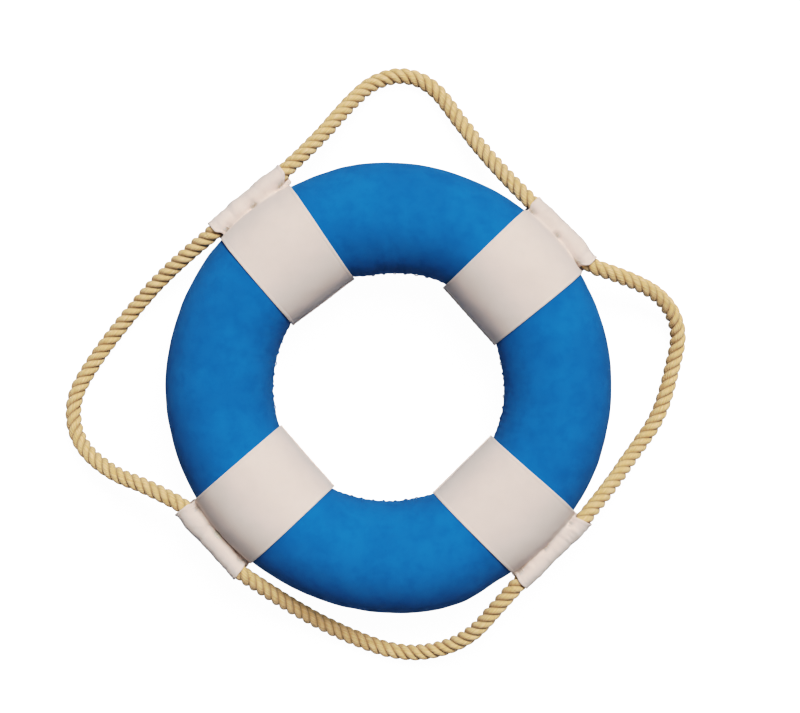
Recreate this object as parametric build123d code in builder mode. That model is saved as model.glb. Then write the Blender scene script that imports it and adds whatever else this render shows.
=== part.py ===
from build123d import *
from math import asin, cos, degrees, pi, radians, sin, sqrt, tan
import os

# Ring lifebuoy: a foam ring in a cloth cover, four cloth bands, and a grab rope that runs through a sleeve
# on each band. The ring lies flat. +Z is the ring's axis, the origin is at its centre, and z = 0 is the
# surface that the bands rest on. Millimetres.

# ---- driving dimensions ----
RING_DIAMETER = 380.0
HOLE_DIAMETER = 199.2
CLOTH_GAP = 0.1  # between curved cloth faces that lie on each other
COVER_THICKNESS = 0.8
BAND_WIDTH = 70.5
BAND_THICKNESS = 1.2
REST_FLAT_DEPTH = 0.2  # how far the cloth of a band flattens where the ring rests on it
ROPE_DIAMETER = 14.0
SLEEVE_AXIS_RADIUS = 198.0  # from the ring's axis to the rope inside a sleeve
SLEEVE_LENGTH = 78.6
SLEEVE_DIAMETER = 17.6
SLEEVE_BORE = 14.9
WAIST_THICKNESS = 3.0  # both cloth layers where they are tacked together between ring and rope
KNUCKLE_OFFSET = 44.0  # from a band's middle to the point about which the free rope swings
ROPE_END_GAP = 0.5  # between the rope inside a sleeve and the free rope's round end
THREAD_RADIUS = 0.45
COVER_STITCH_PITCH = 9.5
COVER_STITCH_HEIGHT = 5.2
COVER_STITCH_LEAN = 3.2  # how far each overcast stitch slants along the hole's edge
COVER_STITCH_MARGIN = 8.0  # degrees left free beside a band
SEAM_STITCHES = 9
SEAM_PITCH = 7.0
SEAM_STITCH_LENGTH = 4.2
SEAM_HEIGHT = 3.0  # of a band's lap seam above the ring's middle
TACK_SPACING = 29.0
TACK_THREAD_PITCH = 1.6
TACK_RING_HEIGHT = 11.2  # above and below the middle, where a tack leaves the ring's part of the band
TACK_RING_LIFT = 0.9  # from the cloth there to the thread's middle
TACK_SLEEVE_HEIGHT = 9.0
TACK_SLEEVE_INSET = 2.6  # from the rope's middle line towards the ring, where a tack reaches the sleeve
WHIPPING_THICKNESS = 0.4
WHIPPING_LENGTH = 24.0
ROPE_TO_WHIPPING = 0.05

# Angle of each band's middle, counter-clockwise from +X. The bands were placed by hand, so they are uneven.
BAND_ANGLES = {"upper_right": 41.8, "upper_left": 127.0, "lower_left": 221.0, "lower_right": 314.3}
JOIN_SLEEVE = "lower_left"  # the sleeve that hides the rope's two ends
BAND_SWEEP = 80  # degrees of ring that a band is cut from, more than its width takes

# ---- sizes that follow from them ----
OUTER_RADIUS = RING_DIAMETER / 2
HOLE_RADIUS = HOLE_DIAMETER / 2
MAJOR_RADIUS = (OUTER_RADIUS + HOLE_RADIUS) / 2
SECTION_RADIUS = (OUTER_RADIUS - HOLE_RADIUS) / 2
CORE_RADIUS = SECTION_RADIUS - COVER_THICKNESS - CLOTH_GAP
BAND_INNER = SECTION_RADIUS + CLOTH_GAP
BAND_OUTER = BAND_INNER + BAND_THICKNESS
MID_HEIGHT = BAND_OUTER - REST_FLAT_DEPTH
ROPE_RADIUS = ROPE_DIAMETER / 2
ROPE_IN_SLEEVE = KNUCKLE_OFFSET - ROPE_RADIUS - ROPE_END_GAP  # half the length of the rope inside a sleeve
HALF_BAND = BAND_WIDTH / 2

# ---- the free rope's route on each side, from one sleeve to the next clockwise ----
# Each loop leaves its sleeve at the ring's middle height, comes down to the surface, lies there and rises
# again to the next sleeve.
ROUTES = {
    "top": [
        (-84.0, 184.6, 46.3),
        (-61.0, 210.5, 41.0),
        (-36.0, 241.5, 23.0),
        (-14.5, 263.0, 9.0),
        (12.5, 270.5, 7.1),
        (39.5, 259.5, 7.1),
        (63.0, 226.0, 13.0),
        (91.5, 189.0, 34.0),
        (118.3, 164.8, 46.3),
    ],
    "right": [
        (176.9, 99.2, 46.3),
        (205.5, 92.5, 41.0),
        (236.5, 76.5, 27.0),
        (252.0, 48.5, 12.0),
        (245.0, 14.0, 7.1),
        (234.0, -26.5, 7.1),
        (210.0, -59.0, 13.0),
        (189.5, -86.5, 32.0),
        (169.8, -111.0, 46.3),
    ],
    "bottom": [
        (106.8, -172.4, 46.3),
        (90.0, -192.0, 42.0),
        (70.5, -215.0, 30.0),
        (40.5, -229.0, 15.0),
        (8.0, -231.0, 7.1),
        (-28.5, -219.0, 7.1),
        (-78.5, -193.5, 22.0),
        (-120.6, -163.1, 46.3),
    ],
    "left": [
        (-178.3, -96.7, 46.3),
        (-205.5, -86.0, 42.0),
        (-239.5, -74.5, 28.0),
        (-269.5, -49.0, 10.0),
        (-275.0, -14.5, 7.1),
        (-258.5, 17.5, 7.1),
        (-224.0, 62.5, 10.0),
        (-187.0, 102.5, 29.0),
        (-154.3, 131.6, 46.3),
    ],
}

# Bands at the counter-clockwise and the clockwise end of each stretch of cover.
SIDES = {
    "top": ("upper_left", "upper_right"),
    "right": ("upper_right", "lower_right"),
    "bottom": ("lower_right", "lower_left"),
    "left": ("lower_left", "upper_left"),
}

os.makedirs("parts", exist_ok=True)


def save(builder, name):
    """Labels a finished piece and writes it under its node's name."""
    builder.part.label = name
    export_step(builder.part, f"parts/{name}.step")


def radial_plane(angle):
    """Upright plane through the ring's axis: x points outward at the angle, y up and z clockwise."""
    outward = Vector(cos(radians(angle)), sin(radians(angle)), 0)
    return Plane(origin=(0, 0, MID_HEIGHT), x_dir=outward, z_dir=outward.cross(Vector(0, 0, 1)))


def chord_ellipse(section_radius):
    """Middle radius and half-width of the ring's section where a band's edge plane cuts it."""
    near = sqrt((MAJOR_RADIUS - section_radius) ** 2 - HALF_BAND**2)
    far = sqrt((MAJOR_RADIUS + section_radius) ** 2 - HALF_BAND**2)
    return (near + far) / 2, (far - near) / 2


def cloth_surface(section_radius, along, height):
    """How far out a band's outer face is, at a distance along the ring from its middle and a height."""
    out = MAJOR_RADIUS + sqrt(section_radius**2 - height**2)
    return sqrt(out**2 - along**2)


def stitch(start, end):
    """One straight stitch of thread between two points, added to the part that is being built."""
    run = end - start
    with Locations(Plane(origin=(start + end) / 2, z_dir=run)):
        Cylinder(THREAD_RADIUS, run.length)


# ---- foam core: one moulded ring of foam with a round section ----
with BuildPart() as foam_core:
    with BuildSketch(radial_plane(0)):
        with Locations((MAJOR_RADIUS, 0)):
            Circle(CORE_RADIUS)
    revolve(axis=Axis.Z)
save(foam_core, "foam_core")

# ---- cover: four cloth panels round the core, which meet under the middle of each band ----
for side, (left_band, right_band) in SIDES.items():
    start_angle = BAND_ANGLES[right_band]
    arc = (BAND_ANGLES[left_band] - start_angle) % 360
    with BuildPart() as cover_panel:
        with BuildSketch(radial_plane(start_angle)):
            with Locations((MAJOR_RADIUS, 0)):
                Circle(SECTION_RADIUS)
                Circle(SECTION_RADIUS - COVER_THICKNESS, mode=Mode.SUBTRACT)
        revolve(axis=Axis.Z, revolution_arc=arc)
    save(cover_panel, f"cover_panel_{side}")

    # overcast stitches that close the panel along the inner edge, only where the bands leave it bare
    stitch_radius = HOLE_RADIUS - THREAD_RADIUS - CLOTH_GAP
    covered = degrees(asin(HALF_BAND / HOLE_RADIUS)) + COVER_STITCH_MARGIN
    step = degrees(COVER_STITCH_PITCH / stitch_radius)
    count = int((arc - 2 * covered) / step) + 1
    with BuildPart() as cover_seam:
        for i in range(count):
            angle = start_angle + arc / 2 + (i - (count - 1) / 2) * step
            outward = Vector(cos(radians(angle)), sin(radians(angle)), 0)
            lean = Vector(-outward.Y, outward.X, 0) * COVER_STITCH_LEAN / 2
            middle = outward * stitch_radius + Vector(0, 0, MID_HEIGHT)
            reach = Vector(0, 0, COVER_STITCH_HEIGHT / 2) + lean
            stitch(middle - reach, middle + reach)
    save(cover_seam, f"cover_seam_stitches_{side}")

# ---- bands, their stitches, and the rope that each sleeve holds ----
for name, band_angle in BAND_ANGLES.items():
    across = radial_plane(band_angle)
    outward = across.x_dir
    along = across.z_dir
    centre = across.origin

    # The strip is taut: it follows the ring where the ring bulges and is straight across at the hole.
    # Its outer end goes round the rope as a tube, joined to the ring's part by the tacked waist.
    outer_middle, outer_half = chord_ellipse(BAND_OUTER)
    inner_middle, inner_half = chord_ellipse(BAND_INNER)
    with BuildPart() as band:
        with BuildSketch(radial_plane(band_angle - BAND_SWEEP / 2)):
            with Locations((MAJOR_RADIUS, 0)):
                Circle(BAND_OUTER)
        revolve(axis=Axis.Z, revolution_arc=BAND_SWEEP)
        with BuildSketch(across.offset(-HALF_BAND)):
            Rectangle(RING_DIAMETER * 2, BAND_OUTER * 4)
        extrude(amount=BAND_WIDTH, mode=Mode.INTERSECT)
        with BuildSketch(across):
            with Locations((outer_middle, 0)):
                Ellipse(outer_half, BAND_OUTER)
        extrude(amount=HALF_BAND, both=True)
        with BuildSketch(across):
            with Locations((SLEEVE_AXIS_RADIUS - SLEEVE_DIAMETER / 2, 0)):
                Rectangle(SLEEVE_DIAMETER / 2, WAIST_THICKNESS)
        extrude(amount=HALF_BAND, both=True)
        with BuildSketch(across):
            with Locations((SLEEVE_AXIS_RADIUS, 0)):
                Circle(SLEEVE_DIAMETER / 2)
        extrude(amount=SLEEVE_LENGTH / 2, both=True)
        with BuildSketch(across):
            with Locations((SLEEVE_AXIS_RADIUS, 0)):
                Circle(SLEEVE_BORE / 2)
        extrude(amount=SLEEVE_LENGTH, both=True, mode=Mode.SUBTRACT)
        with BuildSketch(across):
            with Locations((inner_middle, 0)):
                Ellipse(inner_half, BAND_INNER)
        extrude(amount=BAND_WIDTH, both=True, mode=Mode.SUBTRACT)
        with BuildSketch(across):
            with Locations((MAJOR_RADIUS, 0)):
                Circle(BAND_INNER)
        revolve(axis=Axis.Z, mode=Mode.SUBTRACT)
        with BuildSketch(across.offset(-BAND_WIDTH)):
            Rectangle(RING_DIAMETER * 2, MID_HEIGHT * 2)
        extrude(amount=BAND_WIDTH * 2, mode=Mode.INTERSECT)
    save(band, f"band_{name}")

    # one row of stitches where the strip's ends lap, on the straight inner face
    seam_radius = outer_middle - outer_half - THREAD_RADIUS - CLOTH_GAP
    with BuildPart() as band_seam:
        for i in range(SEAM_STITCHES):
            middle = centre + outward * seam_radius + along * (i - (SEAM_STITCHES - 1) / 2) * SEAM_PITCH
            middle += Vector(0, 0, SEAM_HEIGHT)
            reach = along * SEAM_STITCH_LENGTH / 2
            stitch(middle - reach, middle + reach)
    save(band_seam, f"band_seam_stitches_{name}")

    # tacks over the crease between ring and sleeve, above and below: three places, three threads at each
    with BuildPart() as sleeve_tacks:
        for place in (-TACK_SPACING, 0, TACK_SPACING):
            for thread in (-TACK_THREAD_PITCH, 0, TACK_THREAD_PITCH):
                for up in (1, -1):
                    root = centre + along * (place + thread)
                    ring_out = cloth_surface(BAND_OUTER, place + thread, TACK_RING_HEIGHT) + TACK_RING_LIFT
                    rope_out = SLEEVE_AXIS_RADIUS - TACK_SLEEVE_INSET
                    ring_end = root + outward * ring_out + Vector(0, 0, up * TACK_RING_HEIGHT)
                    rope_end = root + outward * rope_out + Vector(0, 0, up * TACK_SLEEVE_HEIGHT)
                    stitch(ring_end, rope_end)
    save(sleeve_tacks, f"sleeve_stitches_{name}")

    # the rope inside the sleeve; in one of them the rope's two ends meet under a whipping
    rope_plane = across.shift_origin(centre + outward * SLEEVE_AXIS_RADIUS)
    if name == JOIN_SLEEVE:
        for end, way in (("rope_first_end", 1), ("rope_last_end", -1)):
            with BuildPart() as rope_end:
                with BuildSketch(rope_plane):
                    Circle(ROPE_RADIUS)
                extrude(amount=way * ROPE_IN_SLEEVE)
            save(rope_end, end)
        with BuildPart() as whipping:
            with BuildSketch(rope_plane):
                Circle(ROPE_RADIUS + WHIPPING_THICKNESS)
                Circle(ROPE_RADIUS + ROPE_TO_WHIPPING, mode=Mode.SUBTRACT)
            extrude(amount=WHIPPING_LENGTH / 2, both=True)
        save(whipping, "rope_join_whipping")
    else:
        with BuildPart() as held_rope:
            with BuildSketch(rope_plane):
                Circle(ROPE_RADIUS)
            extrude(amount=ROPE_IN_SLEEVE, both=True)
        save(held_rope, f"rope_in_sleeve_{name}")

# ---- the four free grab loops: straight runs joined by arcs, with round ends at the sleeves ----
for side, points in ROUTES.items():
    corners = [Vector(*point) for point in points]
    runs = [b - a for a, b in zip(corners, corners[1:])]
    turns = [before.get_angle(after) for before, after in zip(runs, runs[1:])]
    radii = [
        0.45 * min(before.length, after.length) / tan(radians(turn / 2))
        for before, after, turn in zip(runs, runs[1:], turns)
    ]
    with BuildPart() as grab_loop:
        with BuildLine() as route:
            FilletPolyline(*corners, radius=radii)
        path = route.wire()
        with BuildSketch(Plane(origin=corners[0], z_dir=runs[0])):
            Circle(ROPE_RADIUS)
        sweep(path=path)
        tube_volume = grab_loop.part.volume
        with Locations(Plane(origin=corners[0], z_dir=runs[0])):
            Sphere(ROPE_RADIUS, arc_size1=-90, arc_size2=0)
        with Locations(Plane(origin=corners[-1], z_dir=-runs[-1])):
            Sphere(ROPE_RADIUS, arc_size1=-90, arc_size2=0)
    save(grab_loop, f"grab_loop_{side}")
    print(side, "radii", [round(radius) for radius in radii], "length", round(path.length, 1))
    filled = tube_volume / (pi * ROPE_RADIUS**2 * path.length)
    print(side, "tube volume over section times length", round(filled, 4))
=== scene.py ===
import math

import bmesh
import bpy
import numpy as np
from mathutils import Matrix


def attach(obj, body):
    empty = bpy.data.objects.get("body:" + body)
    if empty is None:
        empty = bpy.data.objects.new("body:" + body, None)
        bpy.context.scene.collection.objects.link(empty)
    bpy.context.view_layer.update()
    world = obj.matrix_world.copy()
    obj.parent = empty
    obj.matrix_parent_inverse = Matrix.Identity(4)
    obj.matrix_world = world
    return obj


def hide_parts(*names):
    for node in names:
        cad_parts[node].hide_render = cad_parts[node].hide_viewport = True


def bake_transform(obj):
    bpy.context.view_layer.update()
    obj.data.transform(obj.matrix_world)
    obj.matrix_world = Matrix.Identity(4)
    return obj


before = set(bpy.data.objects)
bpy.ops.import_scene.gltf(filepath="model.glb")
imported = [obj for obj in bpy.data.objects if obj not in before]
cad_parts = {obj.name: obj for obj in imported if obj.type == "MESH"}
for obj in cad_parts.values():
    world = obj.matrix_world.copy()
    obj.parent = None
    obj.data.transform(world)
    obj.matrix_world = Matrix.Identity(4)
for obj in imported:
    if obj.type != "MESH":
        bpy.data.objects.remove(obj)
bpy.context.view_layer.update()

# Metres. The ring lies flat: its axis is +Z, and z = 0 is the surface that it rests on.
RING_RADIUS = 0.1448  # from the ring's axis to the middle of its round section
SECTION_RADIUS = 0.0452  # over the cover
MID_HEIGHT = 0.0463
BAND_ANGLES = {"upper_right": 41.8, "upper_left": 127.0, "lower_left": 221.0, "lower_right": 314.3}
SIDES = {
    "top": ("upper_left", "upper_right"),
    "right": ("upper_right", "lower_right"),
    "bottom": ("lower_right", "lower_left"),
    "left": ("lower_left", "upper_left"),
}
HALF_BAND = 0.03525
MEAN_HALF_WIDTH = 0.0352  # of the bands where they cross the ring, for shapes solved before the true width
CLOTH_GAP = 0.0001
ROPE_RADIUS = 0.0070
ROPE_LAY = 0.025  # one full turn of a strand
UP = np.array([0.0, 0.0, 1.0])


# ---------- camera ----------
VIEW_WIDTH = 0.6834  # what the picture's width shows at the ring's middle height
VIEW_CENTRE = (0.0096, 0.0256)  # the picture's middle, from the ring's axis
CAMERA_DISTANCE = 3.0
camera_data = bpy.data.cameras.new("camera")
camera_data.sensor_width = 36.0
camera_data.lens = camera_data.sensor_width * CAMERA_DISTANCE / VIEW_WIDTH
camera = bpy.data.objects.new("camera", camera_data)
camera.location = (*VIEW_CENTRE, MID_HEIGHT + CAMERA_DISTANCE)
bpy.context.scene.collection.objects.link(camera)
bpy.context.scene.camera = camera


# ---------- small helpers ----------
def polar(angle):
    """Outward and counter-clockwise unit vectors at an angle round the ring, in degrees."""
    a = math.radians(angle)
    return np.array([math.cos(a), math.sin(a), 0.0]), np.array([-math.sin(a), math.cos(a), 0.0])


def smoothstep(low, high, x):
    t = np.clip((np.asarray(x, float) - low) / (high - low), 0.0, 1.0)
    return t * t * (3.0 - 2.0 * t)


def value_noise(u, v, seed):
    """Smooth noise from -1 to 1 over a unit lattice, the same for the same seed."""
    size = 64
    lattice = np.random.default_rng(seed).uniform(-1.0, 1.0, (size, size))
    u = np.asarray(u, float)
    v = np.asarray(v, float)
    iu = np.floor(u).astype(int)
    iv = np.floor(v).astype(int)
    fu = u - iu
    fv = v - iv
    fu = fu * fu * fu * (fu * (fu * 6.0 - 15.0) + 10.0)
    fv = fv * fv * fv * (fv * (fv * 6.0 - 15.0) + 10.0)
    a = lattice[iu % size, iv % size]
    b = lattice[(iu + 1) % size, iv % size]
    c = lattice[iu % size, (iv + 1) % size]
    d = lattice[(iu + 1) % size, (iv + 1) % size]
    return (a * (1 - fu) + b * fu) * (1 - fv) + (c * (1 - fu) + d * fu) * fv


def fractal(u, v, seed, octaves=3):
    """A few octaves of value noise."""
    total = 0.0
    for k in range(octaves):
        total = total + value_noise(u * 2**k, v * 2**k, seed + k) / 2**k
    return total


def grid_mesh(name, points, uv=None, closed_v=False):
    """A mesh object from an (n, m, 3) grid of points; closed_v joins each row's end to its start."""
    n, m = points.shape[:2]
    index = np.arange(n * m).reshape(n, m)
    following = np.roll(index, -1, axis=1) if closed_v else index[:, 1:]
    here = index if closed_v else index[:, :-1]
    faces = np.stack([here[:-1], following[:-1], following[1:], here[1:]], axis=-1).reshape(-1, 4)
    mesh = bpy.data.meshes.new(name)
    mesh.from_pydata(points.reshape(-1, 3).tolist(), [], faces.tolist())
    if uv is not None:
        columns = m + 1 if closed_v else m
        cell_u, cell_v = np.meshgrid(np.arange(n - 1), np.arange(columns - 1), indexing="ij")
        corners = [(0, 0), (0, 1), (1, 1), (1, 0)]
        loops = np.stack([uv[cell_u + a, cell_v + b] for a, b in corners], axis=2).reshape(-1, 2)
        mesh.uv_layers.new(name="cloth").data.foreach_set("uv", loops.ravel())
    mesh.polygons.foreach_set("use_smooth", [True] * len(mesh.polygons))
    obj = bpy.data.objects.new(name, mesh)
    bpy.context.scene.collection.objects.link(obj)
    return obj


def apply_modifiers(obj):
    """Turns an object's modifiers into its own mesh."""
    depsgraph = bpy.context.evaluated_depsgraph_get()
    mesh = bpy.data.meshes.new_from_object(obj.evaluated_get(depsgraph), depsgraph=depsgraph)
    old = obj.data
    obj.modifiers.clear()
    obj.data = mesh
    bpy.data.meshes.remove(old)


# ---------- rope ----------
# The free rope's route on each side, clockwise from sleeve to sleeve: the CAD tube's points, with both ends
# moved up to 3.5 mm in or out to where each sleeve's mouth really holds the rope.
ROUTES = {
    "top": [
        (-0.0858, 0.1870, 0.0463),
        (-0.0610, 0.2105, 0.0410),
        (-0.0360, 0.2415, 0.0230),
        (-0.0145, 0.2630, 0.0090),
        (0.0125, 0.2705, 0.0071),
        (0.0395, 0.2595, 0.0071),
        (0.0630, 0.2260, 0.0130),
        (0.0915, 0.1890, 0.0340),
        (0.1163, 0.1630, 0.0463),
    ],
    "right": [
        (0.1788, 0.1009, 0.0463),
        (0.2055, 0.0925, 0.0410),
        (0.2365, 0.0765, 0.0270),
        (0.2520, 0.0485, 0.0120),
        (0.2450, 0.0140, 0.0071),
        (0.2340, -0.0265, 0.0071),
        (0.2100, -0.0590, 0.0130),
        (0.1895, -0.0865, 0.0320),
        (0.1690, -0.1102, 0.0463),
    ],
    "bottom": [
        (0.1070, -0.1726, 0.0463),
        (0.0900, -0.1920, 0.0420),
        (0.0705, -0.2150, 0.0300),
        (0.0405, -0.2290, 0.0150),
        (0.0080, -0.2310, 0.0071),
        (-0.0285, -0.2190, 0.0071),
        (-0.0785, -0.1935, 0.0220),
        (-0.1207, -0.1632, 0.0463),
    ],
    "left": [
        (-0.1809, -0.0990, 0.0463),
        (-0.2055, -0.0860, 0.0420),
        (-0.2395, -0.0745, 0.0280),
        (-0.2695, -0.0490, 0.0100),
        (-0.2750, -0.0145, 0.0071),
        (-0.2585, 0.0175, 0.0071),
        (-0.2240, 0.0625, 0.0100),
        (-0.1870, 0.1025, 0.0290),
        (-0.1526, 0.1293, 0.0463),
    ],
}
STRAND_POINTS = 26  # round each of the three strands
ROPE_STEP = 0.0009  # between two rings of the rope's mesh
MOUTH_BEND = 0.009  # over which the rope turns just inside a sleeve's mouth
MOUTH_REACH = 0.019  # from a sleeve's middle to where that bend starts
SLEEVE_SQUEEZE = 0.07  # how much thinner the sewn sleeve makes the rope


def route_line(points):
    """Points along the smooth line whose control points are these."""
    curve = bpy.data.curves.new("route", "CURVE")
    curve.dimensions = "3D"
    curve.resolution_u = 32
    spline = curve.splines.new("NURBS")
    spline.points.add(len(points) - 1)
    for point, place in zip(spline.points, points):
        point.co = (*place, 1.0)
    spline.order_u = 3
    spline.use_endpoint_u = True
    holder = bpy.data.objects.new("route", curve)
    bpy.context.scene.collection.objects.link(holder)
    mesh = bpy.data.meshes.new_from_object(holder)
    line = np.array([v.co[:] for v in mesh.vertices])
    bpy.data.objects.remove(holder)
    bpy.data.curves.remove(curve)
    bpy.data.meshes.remove(mesh)
    return line


def evenly(line, step):
    """The same line with points about one step apart."""
    along = np.r_[0.0, np.cumsum(np.linalg.norm(np.diff(line, axis=0), axis=1))]
    count = max(2, int(round(along[-1] / step)) + 1)
    places = np.linspace(0.0, along[-1], count)
    return np.stack([np.interp(places, along, line[:, k]) for k in range(3)], axis=1)


def sleeve_points(entry, exit_):
    """Control points of the rope through a sleeve, clockwise, from one loop's end to the next one's start."""
    last, before = np.array(ROUTES[entry][-1]), np.array(ROUTES[entry][-2])
    first, after = np.array(ROUTES[exit_][0]), np.array(ROUTES[exit_][1])
    coming = (last - before) / np.linalg.norm(last - before)
    going = (after - first) / np.linalg.norm(after - first)
    through = (first - last) / np.linalg.norm(first - last)
    middle = (first + last) / 2
    return [
        last,
        last + coming * MOUTH_BEND,
        middle - through * MOUTH_REACH,
        middle,
        middle + through * MOUTH_REACH,
        first - going * MOUTH_BEND,
        first,
    ]


def rope_outline():
    """Radius and depth of the groove, from 0 to 1, at each point round the rope's three strands."""
    strand_out = 0.0034
    tall, wide = 0.0036, 0.0041  # a strand is wider along the rope's surface because it lies at a slant
    phi = (np.arange(STRAND_POINTS) + 0.5) / STRAND_POINTS * (2 * math.pi / 3) - math.pi / 3
    a = (np.cos(phi) / tall) ** 2 + (np.sin(phi) / wide) ** 2
    b = -2 * np.cos(phi) * strand_out / tall**2
    c = (strand_out / tall) ** 2 - 1
    radius = (-b + np.sqrt(b * b - 4 * a * c)) / (2 * a)
    return np.tile(radius, 3), np.tile((ROPE_RADIUS - radius) / (ROPE_RADIUS - radius.min()), 3)


def carry_frames(line):
    """Tangents and a normal that is carried along the line without twist."""
    tangent = np.gradient(line, axis=0)
    tangent /= np.linalg.norm(tangent, axis=1)[:, None]
    normal = np.zeros_like(line)
    start = np.cross(tangent[0], UP)
    normal[0] = start / np.linalg.norm(start)
    for i in range(1, len(line)):
        n = normal[i - 1] - tangent[i] * (normal[i - 1] @ tangent[i])
        normal[i] = n / np.linalg.norm(n)
    return tangent, normal


def rope_piece(name, line, tangent, normal, along, squeezed):
    """A closed stretch of three-strand rope; along is the distance from the rope's first end."""
    radius, groove = rope_outline()
    around = len(radius)
    phase = np.arange(around) / around * 2 * math.pi
    theta = phase[None, :] + (along / ROPE_LAY * 2 * math.pi)[:, None]
    binormal = np.cross(tangent, normal)
    strand = np.repeat(np.arange(3), STRAND_POINTS)
    swell = np.stack(
        [value_noise(along / 0.02, np.full_like(along, 7.3 * k), 11 + k) for k in range(3)],
        axis=1,
    )
    reach = radius[None, :] * (1.0 + 0.018 * swell[:, strand])
    if squeezed:
        inside = (along - along[0]) / (along[-1] - along[0])
        reach = reach * (1.0 - SLEEVE_SQUEEZE * squeezed(inside))[:, None]
    points = line[:, None, :] + reach[..., None] * (
        np.cos(theta)[..., None] * normal[:, None, :] + np.sin(theta)[..., None] * binormal[:, None, :]
    )
    columns = np.arange(around + 1)
    # u runs along the rope, and v round it as seen from outside. A yarn runs with the rope, so its v
    # is nearly constant.
    turn = columns[None, :] / around + (along / ROPE_LAY)[:, None]
    uv = np.stack([np.repeat(along[:, None], around + 1, axis=1), turn * 2 * math.pi * ROPE_RADIUS], axis=-1)
    rope = grid_mesh(name, points, uv, closed_v=True)
    mesh = rope.data
    depth = mesh.attributes.new("groove", "FLOAT", "POINT")
    depth.data.foreach_set("value", np.tile(groove, len(line)))
    closing = bmesh.new()
    closing.from_mesh(mesh)
    bmesh.ops.holes_fill(closing, edges=[edge for edge in closing.edges if edge.is_boundary], sides=0)
    closing.to_mesh(mesh)
    closing.free()
    return rope


def squeeze_of(name):
    """How squeezed a piece of rope is at each share of its length, from 0 to 1, or None for a free loop."""
    if name == "rope_first_end":
        return lambda inside: 1 - smoothstep(0.62, 0.95, inside)
    if name == "rope_last_end":
        return lambda inside: smoothstep(0.05, 0.38, inside)
    if name.startswith("rope_in"):
        return lambda inside: smoothstep(0.03, 0.19, inside) * (1 - smoothstep(0.81, 0.97, inside))
    return None


def whole_rope():
    """The rope from its first end round the ring to its last: the visible pieces by name."""
    pieces = []
    half = len(sleeve_points("bottom", "left")) // 2
    join = sleeve_points("bottom", "left")
    pieces.append(("rope_first_end", join[half:]))
    pieces.append(("grab_loop_left", ROUTES["left"]))
    pieces.append(("rope_in_sleeve_upper_left", sleeve_points("left", "top")))
    pieces.append(("grab_loop_top", ROUTES["top"]))
    pieces.append(("rope_in_sleeve_upper_right", sleeve_points("top", "right")))
    pieces.append(("grab_loop_right", ROUTES["right"]))
    pieces.append(("rope_in_sleeve_lower_right", sleeve_points("right", "bottom")))
    pieces.append(("grab_loop_bottom", ROUTES["bottom"]))
    pieces.append(("rope_last_end", join[: half + 1]))
    lines = [evenly(route_line(points), ROPE_STEP) for _, points in pieces]
    whole = np.concatenate([lines[0]] + [line[1:] for line in lines[1:]])
    tangent, normal = carry_frames(whole)
    along = np.r_[0.0, np.cumsum(np.linalg.norm(np.diff(whole, axis=0), axis=1))]
    made = {}
    start = 0
    for (name, _), line in zip(pieces, lines):
        end = start + len(line)
        part = slice(start, end)
        made[name] = rope_piece(
            f"{name}_rope",
            whole[part],
            tangent[part],
            normal[part],
            along[part],
            squeeze_of(name),
        )
        made[name]["line_start"], made[name]["line_end"] = start, end
        start = end - 1
    return made, whole


ropes, rope_line = whole_rope()
for side in ROUTES:
    rope = ropes[f"grab_loop_{side}"]
    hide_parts(f"grab_loop_{side}")
    # the bend starts just outside the mouths, so that the rope's ends stay joined to the rope in the sleeves
    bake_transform(rope)
for name in ("rope_first_end", "rope_last_end"):
    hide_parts(name)
for band in ("upper_left", "upper_right", "lower_right"):
    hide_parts(f"rope_in_sleeve_{band}")
for name, rope in ropes.items():
    if not name.startswith("grab_loop"):
        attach(rope, "ring")


# ---------- materials ----------
def new_material(name, colour, roughness=0.85):
    """A material with its Principled shader, ready for nodes."""
    material = bpy.data.materials.new(name)
    material.use_nodes = True
    shader = material.node_tree.nodes["Principled BSDF"]
    shader.inputs["Base Color"].default_value = (*colour, 1.0)
    shader.inputs["Roughness"].default_value = roughness
    return material, shader


def node(material, kind, values=None, **settings):
    """A node with its settings and its inputs' values."""
    made = material.node_tree.nodes.new(kind)
    for key, value in settings.items():
        setattr(made, key, value)
    for key, value in (values or {}).items():
        made.inputs[key].default_value = value
    return made


def link(material, source, target):
    material.node_tree.links.new(source, target)


def maths(material, operation, a, b=None, c=None):
    """The result of a Math node whose inputs are sockets or numbers."""
    made = node(material, "ShaderNodeMath", operation=operation)
    for socket, value in zip(made.inputs, (a, b, c)):
        if value is None:
            continue
        if isinstance(value, (int, float)):
            socket.default_value = value
        else:
            link(material, value, socket)
    return made.outputs[0]


def mixed(material, kind, factor, a, b):
    """The colour output of a Mix node; a and b are colours or sockets."""
    made = node(material, "ShaderNodeMix", data_type="RGBA", blend_type=kind)
    for socket, value in ((made.inputs[0], factor), (made.inputs[6], a), (made.inputs[7], b)):
        if isinstance(value, bpy.types.NodeSocket):
            link(material, value, socket)
        elif isinstance(value, (int, float)):
            socket.default_value = value
        else:
            socket.default_value = (*value, 1.0)
    return made.outputs[2]


def noise_value(material, vector, scale, detail=3.0, roughness=0.5):
    made = node(material, "ShaderNodeTexNoise", {"Scale": scale, "Detail": detail, "Roughness": roughness})
    link(material, vector, made.inputs["Vector"])
    return made.outputs["Fac"]


def remap(material, value, low, high, to_low=0.0, to_high=1.0):
    made = node(
        material,
        "ShaderNodeMapRange",
        {"From Min": low, "From Max": high, "To Min": to_low, "To Max": to_high},
        interpolation_type="SMOOTHSTEP",
    )
    link(material, value, made.inputs["Value"])
    return made.outputs["Result"]


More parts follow.
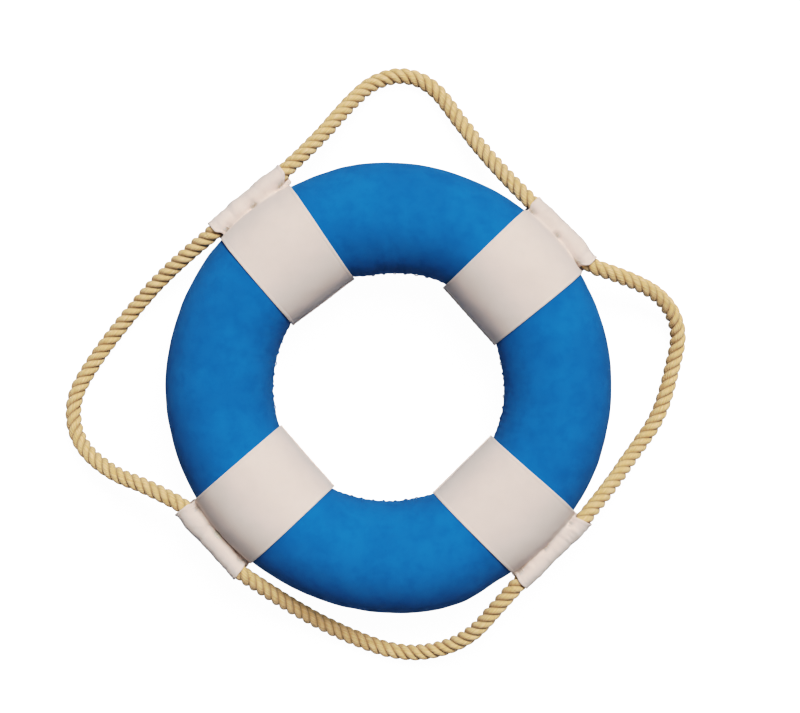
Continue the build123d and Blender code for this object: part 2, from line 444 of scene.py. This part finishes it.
def add_bump(material, shader, *layers):
    """Bump nodes in a row, the finest last: each layer is (height socket, strength, distance in metres)."""
    normal = None
    for height, strength, distance in layers:
        bump = node(material, "ShaderNodeBump", {"Strength": strength, "Distance": distance})
        link(material, height, bump.inputs["Height"])
        if normal is not None:
            link(material, normal, bump.inputs["Normal"])
        normal = bump.outputs["Normal"]
    link(material, normal, shader.inputs["Normal"])


def cloth_material(name, colour, dark_dye_and_gap_shade, thread, patchy, sheen, shine):
    """Plain-weave cloth: threads over and under each other, uneven dye, painted shade in the gaps between the
    threads, and a short nap.
    """
    material, shader = new_material(name, colour, 0.9)
    shader.inputs["Sheen Weight"].default_value = sheen
    shader.inputs["Sheen Roughness"].default_value = 0.5
    shader.inputs["Specular IOR Level"].default_value = shine
    uv = node(material, "ShaderNodeUVMap", uv_map="cloth").outputs["UV"]
    place = node(material, "ShaderNodeTexCoord").outputs["Object"]
    split = node(material, "ShaderNodeSeparateXYZ")
    wobble = node(material, "ShaderNodeTexNoise", {"Scale": 220.0, "Detail": 2.0})
    link(material, uv, wobble.inputs["Vector"])
    shifted = node(material, "ShaderNodeVectorMath", operation="MULTIPLY_ADD")
    link(material, wobble.outputs["Color"], shifted.inputs[0])
    shifted.inputs[1].default_value = (thread * 0.5, thread * 0.5, 0.0)
    link(material, uv, shifted.inputs[2])
    link(material, shifted.outputs[0], split.inputs[0])
    turns = math.pi / thread
    warp = maths(material, "SINE", maths(material, "MULTIPLY", split.outputs["X"], turns))
    weft = maths(material, "SINE", maths(material, "MULTIPLY", split.outputs["Y"], turns))
    over = maths(material, "MULTIPLY", warp, weft)
    across = maths(material, "ABSOLUTE", warp)
    down = maths(material, "ABSOLUTE", weft)
    side = remap(material, over, -0.15, 0.15)
    weave = maths(
        material,
        "ADD",
        maths(material, "MULTIPLY", across, side),
        maths(material, "MULTIPLY", down, maths(material, "SUBTRACT", 1.0, side)),
    )
    clouds = noise_value(material, place, 26.0, 4.0, 0.55)
    blotch = noise_value(material, place, 90.0, 5.0, 0.6)
    slub = noise_value(material, uv, 900.0, 2.0)
    tone = mixed(material, "MIX", remap(material, clouds, 0.35, 0.68, 0.0, patchy), colour, dark_dye_and_gap_shade)
    tone = mixed(material, "MIX", remap(material, blotch, 0.42, 0.75, 0.0, patchy * 0.8), tone, dark_dye_and_gap_shade)
    # painted shade: the gaps between the threads are darkened towards the dark tone
    gap_shade = maths(material, "MULTIPLY", maths(material, "SUBTRACT", 1.0, weave), 0.35)
    tone = mixed(material, "MULTIPLY", gap_shade, tone, dark_dye_and_gap_shade)
    link(material, tone, shader.inputs["Base Color"])
    link(material, remap(material, blotch, 0.3, 0.7, 0.82, 0.97), shader.inputs["Roughness"])
    add_bump(material, shader, (blotch, 0.25, 0.0006), (slub, 0.2, 0.0002), (weave, 0.55, thread * 0.3))
    return material


def rope_material():
    """Laid natural fibre: yarns that run with the rope on each strand's crown, and painted shade, brown, in
    the grooves between the strands.
    """
    straw = (0.67, 0.395, 0.155)
    pale = (0.87, 0.585, 0.30)
    brown = (0.35, 0.23, 0.115)
    material, shader = new_material("rope_fibre", straw, 0.75)
    shader.inputs["Sheen Weight"].default_value = 0.15
    shader.inputs["Specular IOR Level"].default_value = 0.3
    uv = node(material, "ShaderNodeUVMap", uv_map="cloth").outputs["UV"]
    stretch = node(material, "ShaderNodeMapping", {"Scale": (60.0, 900.0, 1.0), "Rotation": (0.0, 0.0, 0.12)})
    link(material, uv, stretch.inputs["Vector"])
    yarns = noise_value(material, stretch.outputs["Vector"], 1.0, 2.0)
    fine = {"Scale": (160.0, 4200.0, 1.0), "Rotation": (0.0, 0.0, 0.12)}
    stretch_fine = node(material, "ShaderNodeMapping", fine)
    link(material, uv, stretch_fine.inputs["Vector"])
    fibres = noise_value(material, stretch_fine.outputs["Vector"], 1.0, 3.0)
    patches = noise_value(material, uv, 70.0, 3.0)
    groove = node(material, "ShaderNodeAttribute", attribute_name="groove").outputs["Fac"]
    tone = mixed(material, "MIX", remap(material, yarns, 0.32, 0.68), straw, pale)
    tone = mixed(material, "MIX", remap(material, fibres, 0.35, 0.75, 0.0, 0.55), tone, brown)
    tone = mixed(material, "MIX", remap(material, patches, 0.4, 0.75, 0.0, 0.35), tone, (0.62, 0.35, 0.12))
    # painted shade: the grooves between the strands are darkened towards brown
    tone = mixed(material, "MIX", remap(material, groove, 0.45, 1.0, 0.0, 0.85), tone, brown)
    link(material, tone, shader.inputs["Base Color"])
    link(material, remap(material, fibres, 0.3, 0.7, 0.62, 0.88), shader.inputs["Roughness"])
    add_bump(material, shader, (yarns, 0.8, 0.0011), (fibres, 0.7, 0.0004))
    return material


def thread_material(name, colour):
    """Twisted sewing thread."""
    material, shader = new_material(name, colour, 0.7)
    place = node(material, "ShaderNodeTexCoord").outputs["Object"]
    ply = noise_value(material, place, 1800.0, 2.0)
    darker = tuple(c * 0.6 for c in colour)
    tone = mixed(material, "MIX", remap(material, ply, 0.3, 0.7), darker, colour)
    link(material, tone, shader.inputs["Base Color"])
    add_bump(material, shader, (ply, 0.6, 0.0002))
    return material


def foam_material():
    """Moulded bead foam: white cells of a few millimetres with fine dark joins."""
    material, shader = new_material("bead_foam", (0.9, 0.9, 0.87), 0.7)
    place = node(material, "ShaderNodeTexCoord").outputs["Object"]
    beads = node(material, "ShaderNodeTexVoronoi", {"Scale": 260.0}, feature="DISTANCE_TO_EDGE")
    link(material, place, beads.inputs["Vector"])
    edge = remap(material, beads.outputs["Distance"], 0.0, 0.12)
    tone = mixed(material, "MIX", edge, (0.68, 0.68, 0.66), (0.93, 0.93, 0.9))
    link(material, tone, shader.inputs["Base Color"])
    add_bump(material, shader, (edge, 0.6, 0.0006))
    return material


# the darker tones serve both for uneven dye and for painted shade in the weave's gaps
BLUE = (0.0085, 0.160, 0.415)
DEEP_BLUE = (0.0045, 0.108, 0.305)
CREAM = (0.80, 0.665, 0.585)
WARM_CREAM = (0.72, 0.60, 0.52)
blue_cloth = cloth_material("blue_canvas", BLUE, DEEP_BLUE, 0.00055, 0.45, 0.02, 0.06)
pale_cloth = cloth_material("pale_canvas", CREAM, WARM_CREAM, 0.00055, 0.4, 0.12, 0.25)
pale_shader = pale_cloth.node_tree.nodes["Principled BSDF"]
pale_shader.inputs["Subsurface Weight"].default_value = 0.35
pale_shader.inputs["Subsurface Radius"].default_value = (1.0, 0.9, 0.8)
pale_shader.inputs["Subsurface Scale"].default_value = 0.002
rope_fibre = rope_material()
blue_thread = thread_material("blue_thread", (0.012, 0.16, 0.45))
pale_thread = thread_material("pale_thread", (0.8, 0.72, 0.65))
twine = thread_material("waxed_twine", (0.8, 0.74, 0.62))
foam = foam_material()

for rope in ropes.values():
    rope.data.materials.append(rope_fibre)


def repaint(name, material):
    """Gives a CAD node that still shows its finished material."""
    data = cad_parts[name].data
    data.materials.clear()
    data.materials.append(material)


repaint("foam_core", foam)
repaint("rope_join_whipping", twine)


# ---------- stitches ----------
THREAD_RADIUS = 0.00042
THREAD_SIDES = 8


def make_threads(name, paths, material):
    """Short lengths of sewing thread as one piece; each path's ends lie inside the cloth."""
    vertices = []
    faces = []
    for path in paths:
        tangent, normal = carry_frames(path)
        binormal = np.cross(tangent, normal)
        turn = np.arange(THREAD_SIDES) / THREAD_SIDES * 2 * math.pi
        across = np.cos(turn)[None, :, None]
        upright = np.sin(turn)[None, :, None]
        ring = across * normal[:, None, :] + upright * binormal[:, None, :]
        tube = path[:, None, :] + THREAD_RADIUS * ring
        first = len(vertices)
        vertices += tube.reshape(-1, 3).tolist()
        for i in range(len(path) - 1):
            for k in range(THREAD_SIDES):
                here = first + i * THREAD_SIDES + k
                beside = first + i * THREAD_SIDES + (k + 1) % THREAD_SIDES
                faces.append((here, beside, beside + THREAD_SIDES, here + THREAD_SIDES))
        faces.append(tuple(first + k for k in reversed(range(THREAD_SIDES))))
        last = first + (len(path) - 1) * THREAD_SIDES
        faces.append(tuple(last + k for k in range(THREAD_SIDES)))
    mesh = bpy.data.meshes.new(name)
    mesh.from_pydata(vertices, [], faces)
    mesh.polygons.foreach_set("use_smooth", [True] * len(mesh.polygons))
    mesh.materials.append(material)
    threads = bpy.data.objects.new(name, mesh)
    bpy.context.scene.collection.objects.link(threads)
    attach(threads, "ring")
    return threads


def arched(start, end, rise, points=9):
    """A stitch from one point to another that stands up along rise in its middle."""
    share = np.linspace(0.0, 1.0, points)[:, None]
    return start * (1 - share) + end * share + rise * np.sin(math.pi * share) ** 0.7


# ---------- cover ----------
COVER_STEP = 0.0011  # between two grid lines at the middle of the section
SEAM_GATHER = 0.0008  # how far the gathers stand up beside the seam
GATHER_REACH = 0.020  # how far they run out over the section
GATHER_PITCH = 0.0062
COVER_CLOTH = 0.0006
BAND_EDGE_CLEAR = 0.004


# How far each panel bulges past a true ring in metres, and at what angle in degrees: outwards, and into
# the hole. The right panel's angles are counted on past 360.
BULGES = {
    "top": (0.0012, 93, 0.0034, 97),
    "right": (0.0004, 360, 0.0018, 374),
    "bottom": (0.0048, 284, 0.0020, 270),
    "left": (0.0006, 195, 0.0012, 176),
}


def under_band(angle, margin):
    """1 where a point at these angles round the ring lies under a band, 0 past a margin from its edge."""
    hidden = np.zeros_like(angle)
    for middle in BAND_ANGLES.values():
        off = np.abs((angle - math.radians(middle) + math.pi) % (2 * math.pi) - math.pi)
        reach = math.asin(HALF_BAND / RING_RADIUS)
        hidden = np.maximum(hidden, 1.0 - smoothstep(reach, reach + margin / RING_RADIUS, off))
    return hidden


def cover_lift(side, seed, angle, turn):
    """How far the cloth stands off a true ring: gathers beside the seam, soft lumps and bulges."""
    from_seam = (math.pi - np.abs(turn)) * SECTION_RADIUS
    bare = 1.0 - under_band(angle, BAND_EDGE_CLEAR)
    inner_run = angle * (RING_RADIUS - SECTION_RADIUS)
    upper = (turn > 0).astype(float)
    wander = 0.35 * fractal(inner_run / 0.02, from_seam / 0.012 + 9 * upper, seed)
    folds = np.cos(2 * math.pi * (inner_run / GATHER_PITCH + wander + 0.31 * upper))
    depth = 0.6 + 0.4 * value_noise(inner_run / 0.009, upper * 5.0 + 0.5, seed + 3)
    fade = np.exp(-from_seam / (GATHER_REACH * (0.45 + 0.35 * depth)))
    gathers = SEAM_GATHER * depth * fade * (0.5 + 0.5 * folds)
    pull = 0.0007 * np.exp(-((from_seam / 0.0022) ** 2))
    lumps = 0.00035 * fractal(angle * RING_RADIUS / 0.045, turn * SECTION_RADIUS / 0.045, seed + 20)
    creases = 0.00016 * fractal(angle * RING_RADIUS / 0.011, turn * SECTION_RADIUS / 0.03, seed + 30, 2)
    lift = (gathers - pull + lumps + creases) * bare

    # the stuffing isn't even: each panel bulges a little, to the outside and to the hole
    outer, outer_at, inner, inner_at = BULGES[side]
    degrees = np.degrees(angle)
    swell_out = outer * np.exp(-(((degrees - outer_at) / 27) ** 2)) * (0.5 + 0.5 * np.cos(turn)) ** 1.5
    swell_in = inner * np.exp(-(((degrees - inner_at) / 22) ** 2)) * (0.5 - 0.5 * np.cos(turn)) ** 2
    under = under_band(angle, 0.030)
    return lift + (swell_out + swell_in) * (1 - under)


def make_cover(side, seed):
    """One cloth panel round the foam, gathered where it is sewn together along the inner edge."""
    left_band, right_band = SIDES[side]
    start = math.radians(BAND_ANGLES[right_band])
    arc = math.radians((BAND_ANGLES[left_band] - BAND_ANGLES[right_band]) % 360)
    columns = int(arc * RING_RADIUS / COVER_STEP)
    rows = int(2 * math.pi * SECTION_RADIUS / COVER_STEP)
    angle = start + np.linspace(0.0, arc, columns)[:, None]
    turn = np.linspace(-math.pi, math.pi, rows)[None, :]  # 0 at the outer edge, the seam at both ends
    angle = np.broadcast_to(angle, (columns, rows))
    turn = np.broadcast_to(turn, (columns, rows))
    lift = cover_lift(side, seed, angle, turn)
    radius = SECTION_RADIUS - 0.0001 + lift
    out = RING_RADIUS + radius * np.cos(turn)
    # flat where it lies on the floor
    height = np.maximum(MID_HEIGHT + radius * np.sin(turn), COVER_CLOTH + 0.0001)
    points = np.stack([out * np.cos(angle), out * np.sin(angle), height], axis=-1)
    uv = np.stack([angle * RING_RADIUS, turn * SECTION_RADIUS], axis=-1)
    cover = grid_mesh(f"cover_{side}", points, uv)
    cover.data.materials.append(blue_cloth)
    thick = cover.modifiers.new("cloth", "SOLIDIFY")
    thick.thickness = COVER_CLOTH
    thick.offset = 1.0
    apply_modifiers(cover)
    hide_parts(f"cover_panel_{side}")
    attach(cover, "ring")
    return cover


COVER_STITCHES = {"top": 6, "right": 6, "bottom": 7, "left": 7}
COVER_STITCH_PITCH = 0.0095
COVER_STITCH_HEIGHT = 0.0056
COVER_STITCH_LEAN = 0.0032


def stitch_cover(side, seed):
    """Overcast stitches over the panel's seam in the hole, each leaning a little differently."""
    left_band, right_band = SIDES[side]
    start = math.radians(BAND_ANGLES[right_band])
    arc = math.radians((BAND_ANGLES[left_band] - BAND_ANGLES[right_band]) % 360)
    count = COVER_STITCHES[side]
    random = np.random.default_rng(seed + 70)
    paths = []
    for i in range(count):
        step = COVER_STITCH_PITCH / (RING_RADIUS - SECTION_RADIUS)
        middle = start + arc / 2 + (i - (count - 1) / 2) * step + random.uniform(-0.004, 0.004)
        lean = COVER_STITCH_LEAN * random.uniform(0.7, 1.2) / (RING_RADIUS - SECTION_RADIUS)
        ends = []
        for up in (1, -1):
            height = COVER_STITCH_HEIGHT / 2 * random.uniform(0.85, 1.15)
            angle = np.array(middle + up * lean / 2)
            turn = np.array(up * (math.pi - height / SECTION_RADIUS))
            radius = SECTION_RADIUS + cover_lift(side, seed, angle, turn) - 0.0007
            out = RING_RADIUS + radius * math.cos(turn)
            level = MID_HEIGHT + radius * math.sin(turn)
            ends.append(np.array([out * math.cos(angle), out * math.sin(angle), level]))
        inward = -np.array([math.cos(middle), math.sin(middle), 0.0])
        paths.append(arched(ends[0], ends[1], inward * 0.00125))
    threads = make_threads(f"cover_stitches_{side}", paths, blue_thread)
    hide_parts(f"cover_seam_stitches_{side}")


for seed, side in enumerate(SIDES):
    make_cover(side, 100 * (seed + 1))
    stitch_cover(side, 100 * (seed + 1))


# ---------- bands ----------
# Each band's own uneven shape, in metres, measured from the photo at the part's scale. Pairs are its
# counter-clockwise and clockwise sides: half-widths at the hole, at the outer edge and at the crease,
# how far the sleeve reaches along on its far side and beside the ring, and the sleeve's radius there.
# tight says how sharp the crease is at seven places from the clockwise mouth to the counter-clockwise
# one, from 0, bridged over, to 1, drawn in.
SEWN = {
    "upper_right": {
        "hole": (0.0322, 0.0341),
        "outer": (0.0350, 0.0376),
        "crease": (0.0333, 0.0325),
        "far": (0.0353, 0.0364),
        "near": (0.0352, 0.0374),
        "radius": (0.0082, 0.0082),
        "tight": (0.9, 0.6, 0.45, 0.5, 0.2, 0.3, 0.6),
    },
    "upper_left": {
        "hole": (0.0340, 0.0320),
        "outer": (0.0384, 0.0357),
        "crease": (0.0347, 0.0336),
        "far": (0.0397, 0.0386),
        "near": (0.0382, 0.0388),
        "radius": (0.0089, 0.0080),
        "tight": (0.8, 0.35, 0.1, 0.8, 0.85, 0.9, 1.0),
    },
    "lower_left": {
        "hole": (0.0338, 0.0355),
        "outer": (0.0366, 0.0357),
        "crease": (0.0342, 0.0352),
        "far": (0.0377, 0.0372),
        "near": (0.0352, 0.0364),
        "radius": (0.0081, 0.0096),
        "tight": (0.3, 0.7, 0.6, 0.9, 0.95, 1.0, 1.0),
    },
    "lower_right": {
        "hole": (0.0335, 0.0363),
        "outer": (0.0390, 0.0357),
        "crease": (0.0365, 0.0348),
        "far": (0.0420, 0.0362),
        "near": (0.0372, 0.0372),
        "radius": (0.0080, 0.0083),
        "tight": (0.9, 1.0, 0.9, 0.7, 0.2, 0.1, 0.4),
    },
}
BAND_CLOTH = 0.0010
BAND_MIDDLE = SECTION_RADIUS + CLOTH_GAP + 0.0001 + BAND_CLOTH / 2
BAND_LINES = 112  # grid lines over the band's width
RING_LINES = 150  # over the length above or below, from the lap to the start of the crease
CREASE_LINES = 30
SLEEVE_LINES = 54
CREASE_START = math.radians(30.0)  # above the ring's middle, where the cloth starts to leave the ring
SHARP, BRIDGED = 0.0024, 0.0090  # rounding of the crease where it is drawn in and where it is bridged over
TACKS = (-0.029, 0.0, 0.029)
TACK_THREAD_PITCH = 0.0016
TACK_HALF = 0.0046  # a tack thread's reach over the cloth on each side of the crease
SEAM_STITCHES = 9
SEAM_PITCH = 0.0070
SEAM_STITCH_LENGTH = 0.0042
SEAM_HEIGHT = 0.0030
TACK_DEPTH = 0.0030
LAYERS = 0.0009  # half the gap between the two layers' middles where they are tacked together
HEM = 0.0026
LAP = 0.0075  # how far the strip's lower end comes up over its upper end in the hole


def tack_pull(t, reach=0.0036):
    """1 at a tack, fading to 0 away from it."""
    return sum(np.exp(-(((t - place) / reach) ** 2)) for place in TACKS)


def pair(values, t):
    """One of two values, for the counter-clockwise (t > 0) or the clockwise side."""
    return np.where(t > 0, values[0], values[1])


def union_gap(x, z, t, centre, radius, rounding):
    """Distance to the ring's and the sleeve's shapes joined with a rounded crease, below 0 inside."""
    ring = np.hypot(np.hypot(x, t) - RING_RADIUS, z) - BAND_MIDDLE
    sleeve = np.hypot(x - centre[0], z - centre[1]) - radius
    near = np.clip(rounding - np.abs(ring - sleeve), 0.0, None) / rounding
    return np.minimum(ring, sleeve) - near * near * rounding / 4


def solve_outward(gap_at, low, high):
    """The distance between low and high at which a shape ends, by halving."""
    low = low + 0.0
    high = high + 0.0
    for _ in range(30):
        middle = (low + high) / 2
        inside = gap_at(middle) < 0
        low = np.where(inside, middle, low)
        high = np.where(inside, high, middle)
    return (low + high) / 2


def band_section(t, centre, radius, rounding, lap):
    """x and z of the strip's middle surface in the upright plane at t, from the hole to the far side.

    A lap carries the end past the ring's middle height in the hole, over the strip's other end.
    """
    turn = np.linspace(math.pi + lap / BAND_MIDDLE, CREASE_START, RING_LINES)[None, :] + 0 * t
    over = BAND_CLOTH * 1.05 * smoothstep(math.pi - 0.22, math.pi - 0.05, turn) if lap else 0.0
    out = RING_RADIUS + (BAND_MIDDLE + over) * np.cos(turn)
    reach = np.abs(t) * np.ones_like(turn)
    bulged = np.sqrt(out**2 - reach**2)
    straight = np.sqrt(out**2 - MEAN_HALF_WIDTH**2)
    bulging = 1 - smoothstep(math.radians(75), math.radians(105), turn)
    x_ring = straight * (1 - bulging) + bulged * bulging
    z_ring = BAND_MIDDLE * np.sin(turn)

    share = np.linspace(0.0, 1.0, CREASE_LINES + 2)[None, 1:-1]
    x_crease = x_ring[:, -1:] * (1 - share) + centre[0] * share
    top = np.full_like(x_crease, 0.026)
    z_crease = solve_outward(
        lambda z: union_gap(x_crease, z, t, centre, radius, rounding), np.zeros_like(x_crease), top
    )

    st = np.linspace(math.pi / 2, 0.0, SLEEVE_LINES)[None, :] + 0 * t
    r = solve_outward(
        lambda d: union_gap(
            centre[0] + d * np.cos(st), centre[1] + d * np.sin(st), t, centre, radius, rounding
        ),
        np.full_like(st, 0.004),
        np.full_like(st, 0.016),
    )
    x_sleeve = centre[0] + r * np.cos(st)
    z_sleeve = centre[1] + r * np.sin(st)
    x = np.concatenate([x_ring, x_crease, x_sleeve], axis=1)
    z = np.concatenate([z_ring, z_crease, z_sleeve], axis=1)
    return x, z


def make_band(name, seed, rope_path):
    """A closed strip of cloth: round the ring, in to the tacked crease, round the rope and back."""
    sewn = SEWN[name]
    outward, along = polar(BAND_ANGLES[name])
    a = np.linspace(-1.0, 1.0, BAND_LINES)[:, None]
    side = a * MEAN_HALF_WIDTH  # stands for t until the width is known

    # the sleeve's middle line follows the rope's, but stays straighter where the rope bends at the mouths
    order = np.argsort(rope_path @ along)
    path = rope_path[order]
    inner = np.abs(path @ along) < 0.030
    slope, level = np.polyfit((path @ along)[inner], (path @ outward)[inner], 1)
    stray = 0.0017

    def middle_line(t):
        x = np.interp(t, path @ along, path @ outward)
        z = np.interp(t, path @ along, path[:, 2]) - MID_HEIGHT
        line = level + slope * t
        return line + np.clip(x - line, -stray, stray), np.clip(z, -stray, stray)

    tight = np.interp(side, np.linspace(-0.036, 0.036, 7), sewn["tight"])
    tight = np.clip(tight + 0.25 * tack_pull(side), 0.0, 1.0)
    rounding = SHARP * tight + BRIDGED * (1 - tight)
    mean = (sewn["radius"][0] + sewn["radius"][1]) / 2
    tilt = (sewn["radius"][0] - sewn["radius"][1]) / 2
    lumps = 0.0004 * fractal(side / 0.011, 0 * side + 3.7, seed + 40)
    radius = mean + tilt * np.clip(side / 0.030, -1.2, 1.2) + lumps - 0.0005 * tack_pull(side, 0.007)
    centre = middle_line(side)
    x_up, z_up = band_section(side, centre, radius, rounding, 0.0)
    x_low, z_low = band_section(side, centre, radius, rounding, LAP)
    z_low = 2 * centre[1] * smoothstep(0.184, 0.198, x_low) - z_low
    x = np.concatenate([x_up, x_low[:, -2::-1]], axis=1)
    z = np.concatenate([z_up, z_low[:, -2::-1]], axis=1)
    columns = x.shape[1]
    half = columns // 2
    upper = np.arange(columns) <= half
    sign = np.where(upper, 1.0, -1.0)[None, :]

    # distances over the strip at its middle line, from the crease
    step = np.hypot(np.diff(x[BAND_LINES // 2]), np.diff(z[BAND_LINES // 2]))
    down = np.r_[0.0, np.cumsum(step)]
    near_side = np.where(upper, down, down[-1] - down)
    crease_at = down[RING_LINES + int(CREASE_LINES * 0.55)]
    q = (near_side - crease_at)[None, :]  # below 0 on the ring, above 0 on the sleeve

    # the strip's width
    out_here = np.clip((x[BAND_LINES // 2] - 0.100) / 0.078, 0.0, 1.0)[None, :]
    ring_half = pair(sewn["hole"], a) * (1 - out_here) + pair(sewn["outer"], a) * out_here
    turn = np.clip(q / (0.0085 * math.pi / 2 + 0.004), 0.0, 1.0)
    sleeve_half = pair(sewn["near"], a) * (1 - turn) + pair(sewn["far"], a) * turn
    pinch = pair(sewn["crease"], a)
    into = smoothstep(-0.0075, -0.0005, q)
    out_of = smoothstep(0.0005, 0.0065, q)
    width = (ring_half * (1 - into) + pinch * into) * (1 - out_of) + sleeve_half * out_of
    ragged = 0.0004 * value_noise(down[None, :] / 0.004, np.sign(a) * 3.0 + 0.5, seed + 60) * out_of
    t = a * (width + ragged)

    # tacks, puckers that run across the crease, folds across the sleeve, and the turned hems
    pull = tack_pull(t)
    fade = np.exp(-np.abs(q) / np.where(q < 0, 0.012, 0.009))
    puckers = fractal(t / 0.0052, q / 0.03 + 2.0, seed + 5, 2)
    pucker_lift = 0.00042 * puckers * fade
    dip = TACK_DEPTH * pull * np.exp(-((q / 0.0034) ** 2))
    folds = 0.00045 * fractal(t / 0.0065 + 0.25 * np.sin(q / 0.006), q / 0.018, seed + 9, 3)
    folds *= smoothstep(0.002, 0.008, q)
    slack = 0.00022 * fractal(t / 0.028, near_side[None, :] / 0.030, seed) * smoothstep(0.004, 0.02, -q)
    edge = (1 - np.abs(a)) * width
    hem = 1 - smoothstep(HEM * 0.7, HEM, edge)
    hem_lift = 0.00018 * hem * (1 - 0.5 * (1 - smoothstep(0.0, 0.0012, edge)))
    hem_groove = -0.00010 * np.exp(-(((edge - HEM * 1.15) / 0.0005) ** 2))

    # move every point along the surface's own normal in its plane
    dx = np.gradient(x, axis=1)
    dz = np.gradient(z, axis=1)
    size = np.hypot(dx, dz)
    nx, nz = -dz / size, dx / size
    lift = pucker_lift + folds + slack + hem_lift + hem_groove
    x = x + nx * lift
    z = z + nz * lift
    z = z - sign * dip
    z = np.where(upper[None, :], np.maximum(z, LAYERS * (np.abs(q) < 0.006)), z)
    z = np.where(~upper[None, :], np.minimum(z, -LAYERS * (np.abs(q) < 0.006)), z)
    z = np.clip(z, -MID_HEIGHT + BAND_CLOTH / 2 + 0.00002, MID_HEIGHT)

    points = x[..., None] * outward + t[..., None] * along + (z + MID_HEIGHT)[..., None] * UP
    uv = np.stack([t, np.broadcast_to(down[None, :], t.shape)], axis=-1)
    band = grid_mesh(f"cloth_band_{name}", points, uv)
    band.data.materials.append(pale_cloth)
    thick = band.modifiers.new("cloth", "SOLIDIFY")
    thick.thickness = BAND_CLOTH
    thick.offset = 0.0
    apply_modifiers(band)
    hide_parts(f"band_{name}")
    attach(band, "ring")

    # tacks: three threads at each place, over the crease above and below, held down on the cloth
    normal = nx[..., None] * outward + nz[..., None] * UP
    tacks = []
    for place in TACKS:
        for thread in (-TACK_THREAD_PITCH, 0.0, TACK_THREAD_PITCH):
            row = int(np.argmin(np.abs(t[:, RING_LINES + CREASE_LINES // 2] - place - thread)))
            for half_strip in (upper, ~upper):
                near = np.where(half_strip & (np.abs(q[0]) < TACK_HALF))[0]
                share = np.linspace(-1.0, 1.0, len(near))
                height = 0.0010 - 0.0019 * np.abs(share) ** 3
                tacks.append(points[row, near] + normal[row, near] * height[:, None])
    threads = make_threads(f"tacks_{name}", tacks, pale_thread)
    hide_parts(f"sleeve_stitches_{name}")

    # the row of stitches through the lap, on the straight face in the hole
    random = np.random.default_rng(seed + 90)
    seam = []
    for i in range(SEAM_STITCHES):
        middle = (i - (SEAM_STITCHES - 1) / 2) * SEAM_PITCH
        ends = []
        for way in (-1, 1):
            place = middle + way * SEAM_STITCH_LENGTH / 2 * random.uniform(0.85, 1.1)
            height = SEAM_HEIGHT + random.uniform(-0.0004, 0.0004)
            # the nearest grid line in height, kept to the hole's side and to the lapped layer
            elsewhere = 1.0 * (x[BAND_LINES // 2] > 0.12) + upper
            column = int(np.argmin(np.abs(z[BAND_LINES // 2] - height) + elsewhere))
            row = int(np.argmin(np.abs(t[:, column] - place)))
            ends.append(points[row, column] + outward * 0.0004)
        seam.append(arched(ends[0], ends[1], -outward * 0.0007))
    threads = make_threads(f"lap_stitches_{name}", seam, pale_thread)
    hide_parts(f"band_seam_stitches_{name}")
    return band


def sleeve_path(band):
    """The rope's middle line inside one sleeve."""
    names = ["rope_first_end", "rope_last_end"] if band == "lower_left" else [f"rope_in_sleeve_{band}"]
    return np.concatenate([rope_line[ropes[n]["line_start"] : ropes[n]["line_end"]] for n in names])


for seed, name in enumerate(BAND_ANGLES):
    make_band(name, 50 * (seed + 1), sleeve_path(name))


# ---------- floor and light ----------
def make_stage():
    """A pale floor that rises into a pale backdrop all round, lit from within like a light tent."""
    material = bpy.data.materials.new("studio_white")
    material.use_nodes = True
    tree = material.node_tree
    tree.nodes.clear()
    glow = tree.nodes.new("ShaderNodeEmission")
    glow.inputs["Color"].default_value = (1.0, 1.0, 1.0, 1.0)
    glow.inputs["Strength"].default_value = 2.05
    paper = tree.nodes.new("ShaderNodeBsdfDiffuse")
    paper.inputs["Color"].default_value = (0.30, 0.30, 0.30, 1.0)
    both = tree.nodes.new("ShaderNodeAddShader")
    result = tree.nodes.new("ShaderNodeOutputMaterial")
    tree.links.new(glow.outputs[0], both.inputs[0])
    tree.links.new(paper.outputs[0], both.inputs[1])
    tree.links.new(both.outputs[0], result.inputs["Surface"])
    rings, spokes, flat, tall = 40, 96, 2.0, 7.0
    profile = [(flat * k / 8, 0.0) for k in range(9)]
    profile += [
        (flat + tall * math.sin(k / rings * math.pi / 2), tall * (1 - math.cos(k / rings * math.pi / 2)))
        for k in range(1, rings)
    ]
    turn = np.linspace(0, 2 * math.pi, spokes, endpoint=False)
    points = np.array([[(r * math.cos(w), r * math.sin(w), z) for w in turn] for r, z in profile])
    stage = grid_mesh("studio_floor", points, closed_v=True)
    stage.data.materials.append(material)
    stage.visible_diffuse = False
    stage.visible_shadow = False


make_stage()
world = bpy.data.worlds.new("world")
world.use_nodes = True
world.node_tree.nodes["Background"].inputs["Color"].default_value = (0.82, 0.94, 1.15, 1.0)
world.node_tree.nodes["Background"].inputs["Strength"].default_value = 0.17
bpy.context.scene.world = world
key_data = bpy.data.lights.new("key", "SUN")
key_data.energy = 4.65
key_data.angle = math.radians(24)
key_data.color = (1.0, 0.98, 0.955)
key = bpy.data.objects.new("key", key_data)
key_direction = np.array([math.tan(math.radians(12)), math.tan(math.radians(26)), 1.0])
key.rotation_euler = (
    -math.atan2(key_direction[1], 1.0),
    math.atan2(key_direction[0], math.hypot(key_direction[1], 1.0)),
    0.0,
)
bpy.context.scene.collection.objects.link(key)


# Scene light and what the picture shows for it: darker shadows and a film-like shoulder.
TONES = (
    (0.05, 0.032),
    (0.10, 0.082),
    (0.18, 0.175),
    (0.30, 0.305),
    (0.50, 0.49),
    (0.80, 0.64),
    (1.10, 0.765),
    (1.60, 0.92),
)


def soft_highlights():
    """A plain picture with darker shadows and a film-like shoulder, so that whites keep their shading."""
    view = bpy.context.scene.view_settings
    view.view_transform = "Standard"
    view.use_curve_mapping = True
    mapping = view.curve_mapping
    brightest = 2.4
    mapping.white_level = (brightest, brightest, brightest)
    curve = mapping.curves[3]
    for light, shown in TONES:
        curve.points.new(light / brightest, shown)
    mapping.update()


soft_highlights()
